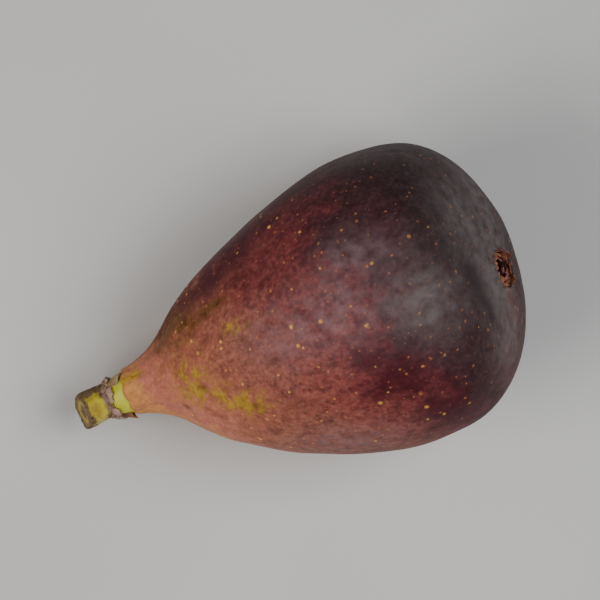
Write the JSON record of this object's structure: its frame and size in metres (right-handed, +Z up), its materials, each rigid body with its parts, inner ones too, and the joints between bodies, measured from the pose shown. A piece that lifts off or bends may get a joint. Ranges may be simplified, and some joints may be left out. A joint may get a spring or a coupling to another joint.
{
  "type": "fresh fig",
  "caption": "Whole fresh dark fig lying on its side, pear-shaped, with a short cut stalk and an open, scale-lined eye.",
  "frame": {"origin": "on the surface that the fig lies on, below the middle of its outline seen from above", "axes": "+X along the fig from the cut stalk towards the eye, +Z up, +Y to the left of someone looking along +X"},
  "size_m": [0.074, 0.0468, 0.0453],
  "materials": {
    "fig_skin": "satin waxy skin, plum red at the neck to dusty black-purple at the eye",
    "eye_scale": "dry rust-brown scale",
    "stalk": "matt olive-yellow with grey-brown bark"
  },
  "bodies": {
    "root": {"fruit": "fig_skin", "eye_scales": "eye_scale", "stalk": "stalk"}
  },
  "joints": []
}
